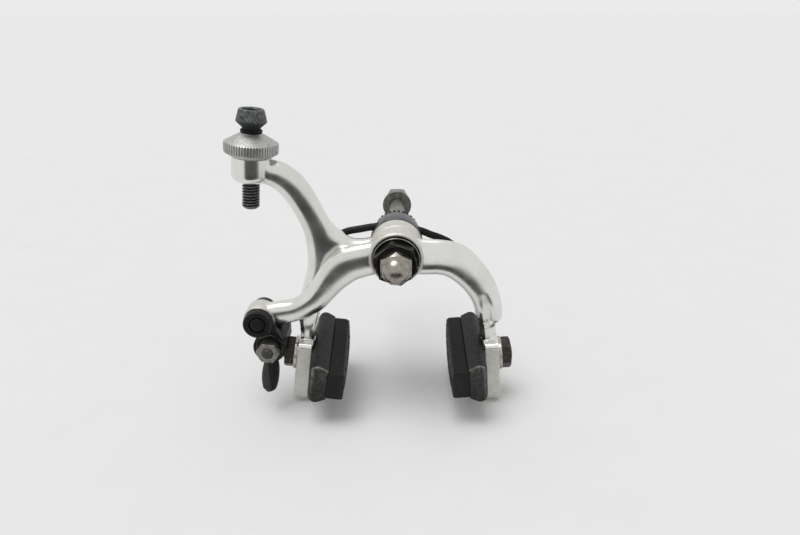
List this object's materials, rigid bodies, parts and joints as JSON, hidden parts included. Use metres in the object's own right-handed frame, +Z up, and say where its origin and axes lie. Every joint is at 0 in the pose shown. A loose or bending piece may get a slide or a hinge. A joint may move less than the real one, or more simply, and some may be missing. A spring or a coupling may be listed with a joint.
{
  "type": "side-pull caliper brake",
  "caption": "Side-pull rim brake for a road bicycle: two curved alloy arms on one pivot bolt, rubber shoes, cable adjuster and cable quick release.",
  "frame": {"origin": "on the pivot bolt's axis, on the rear face of the serrated seat washer, where the brake meets the frame", "axes": "+Y along the pivot bolt towards the frame, +Z up, +X towards the shoe of the front arm, as the picture shows it from the front"},
  "size_m": [0.0985, 0.0831, 0.1041],
  "materials": {
    "polished_alloy": "polished, lightly scuffed",
    "dull_alloy": "worn matte",
    "bright_steel": "worn plating",
    "dull_steel": "dull, slightly rusty",
    "grey_steel": "dull",
    "black_steel": "black, satin",
    "black_plastic": "satin black",
    "dark_alloy": "worn dark anodised",
    "pad_rubber": "dusty",
    "holder_rubber": "scuffed",
    "ring_rubber": "soft"
  },
  "bodies": {
    "pivot": {"pivot_bolt": "dull_steel", "spring_block": "grey_steel", "return_spring": "black_steel", "seat_washer": "black_steel", "rear_thrust_washer": "black_plastic", "arm_washer": "bright_steel", "cover_washer": "black_plastic", "front_washer": "bright_steel", "lock_nut": "black_steel", "acorn_nut": "bright_steel", "mount_washer": "dull_steel", "mount_nut": "dull_steel"},
    "front_arm": {"front_arm": "polished_alloy", "front_spring_peg": "bright_steel", "right_holder": "holder_rubber", "right_block": "pad_rubber", "right_stud": "dull_steel", "right_shoe_washer": "bright_steel", "right_shoe_nut": "dull_steel"},
    "rear_arm": {"rear_arm": "polished_alloy", "rear_spring_peg": "bright_steel", "left_holder": "holder_rubber", "left_block": "pad_rubber", "left_stud": "dull_steel", "left_shoe_washer": "bright_steel", "left_shoe_nut": "dull_steel"},
    "adjuster_nut": {"adjuster_nut": "dull_alloy", "adjuster_ring": "ring_rubber"},
    "adjuster_screw": {"adjuster_screw": "dark_alloy"},
    "quick_release": {"release_lever": "black_plastic", "release_spindle": "black_steel", "release_washer": "bright_steel", "anchor_bolt": "dull_steel", "anchor_washer": "dull_steel", "anchor_nut": "bright_steel"}
  },
  "joints": [
    {"name": "front_arm_pivot", "type": "hinge", "parent": "pivot", "child": "front_arm", "pos_m": [0, -0.0243, 0], "axis": [0, 1, 0], "range_deg": [0, 18], "stiffness_Nm_per_rad": 2, "springref_deg": -2.86, "deforming": ["return_spring"]},
    {"name": "rear_arm_pivot", "type": "hinge", "parent": "pivot", "child": "rear_arm", "pos_m": [0, -0.0168, 0], "axis": [0, -1, 0], "range_deg": [0, 18], "stiffness_Nm_per_rad": 2, "springref_deg": -2.86, "deforming": ["return_spring"]},
    {"name": "adjuster_turn", "type": "hinge", "parent": "rear_arm", "child": "adjuster_nut", "pos_m": [-0.048, -0.0168, 0.0279], "axis": [-0.0976, 0, -0.9952], "range_deg": [0, 3241]},
    {"name": "adjuster_slide", "type": "slide", "parent": "rear_arm", "child": "adjuster_screw", "axis": [0.0976, 0, 0.9952], "range_m": [0, 0.009]},
    {"name": "release_swing", "type": "hinge", "parent": "front_arm", "child": "quick_release", "pos_m": [-0.0476, -0.0243, -0.0232], "axis": [0, 1, 0], "range_deg": [0, 100]}
  ],
  "couplings": [
    {"joint": "adjuster_turn", "follows": "adjuster_slide", "rad_per_m": 6283.2}
  ]
}
